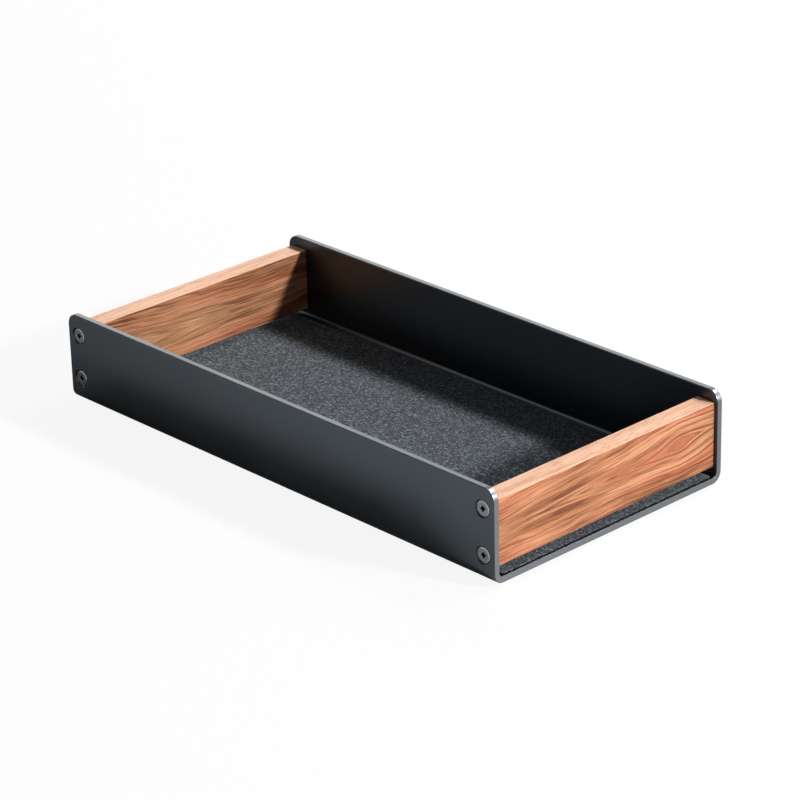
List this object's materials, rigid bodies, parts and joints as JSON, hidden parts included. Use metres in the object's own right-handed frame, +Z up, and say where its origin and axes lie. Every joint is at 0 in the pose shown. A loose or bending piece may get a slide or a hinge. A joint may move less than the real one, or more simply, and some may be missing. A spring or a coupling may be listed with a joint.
{
  "type": "desk tray",
  "caption": "Low desk tray: a folded dark metal channel closed by screwed-in wooden end boards, with a loose felt mat that slides out under them, on rubber feet.",
  "frame": {"origin": "under the middle of the tray, on the surface that its feet stand on", "axes": "+X along the tray towards its right end, +Y across it towards the back wall, +Z up"},
  "size_m": [0.25, 0.1262, 0.0405],
  "materials": {
    "powder_coat": "satin anthracite powder coat on sheet steel",
    "walnut": "oiled walnut, fine grain along the board",
    "felt": "charcoal melange felt",
    "screw_steel": "dark zinc plated, satin",
    "foot_rubber": "matt black rubber"
  },
  "bodies": {
    "tray": {"tray_channel": "powder_coat", "left_end_board": "walnut", "right_end_board": "walnut", "screw_front_left_upper": "screw_steel", "screw_front_left_lower": "screw_steel", "screw_front_right_upper": "screw_steel", "screw_front_right_lower": "screw_steel", "screw_back_left_upper": "screw_steel", "screw_back_left_lower": "screw_steel", "screw_back_right_upper": "screw_steel", "screw_back_right_lower": "screw_steel", "foot_front_left": "foot_rubber", "foot_front_right": "foot_rubber", "foot_back_left": "foot_rubber", "foot_back_right": "foot_rubber"},
    "mat": {"felt_mat": "felt"}
  },
  "joints": [
    {"name": "felt_mat_slide", "type": "slide", "parent": "tray", "child": "mat", "axis": [1, 0, 0], "range_m": [-0.26, 0.26]}
  ]
}
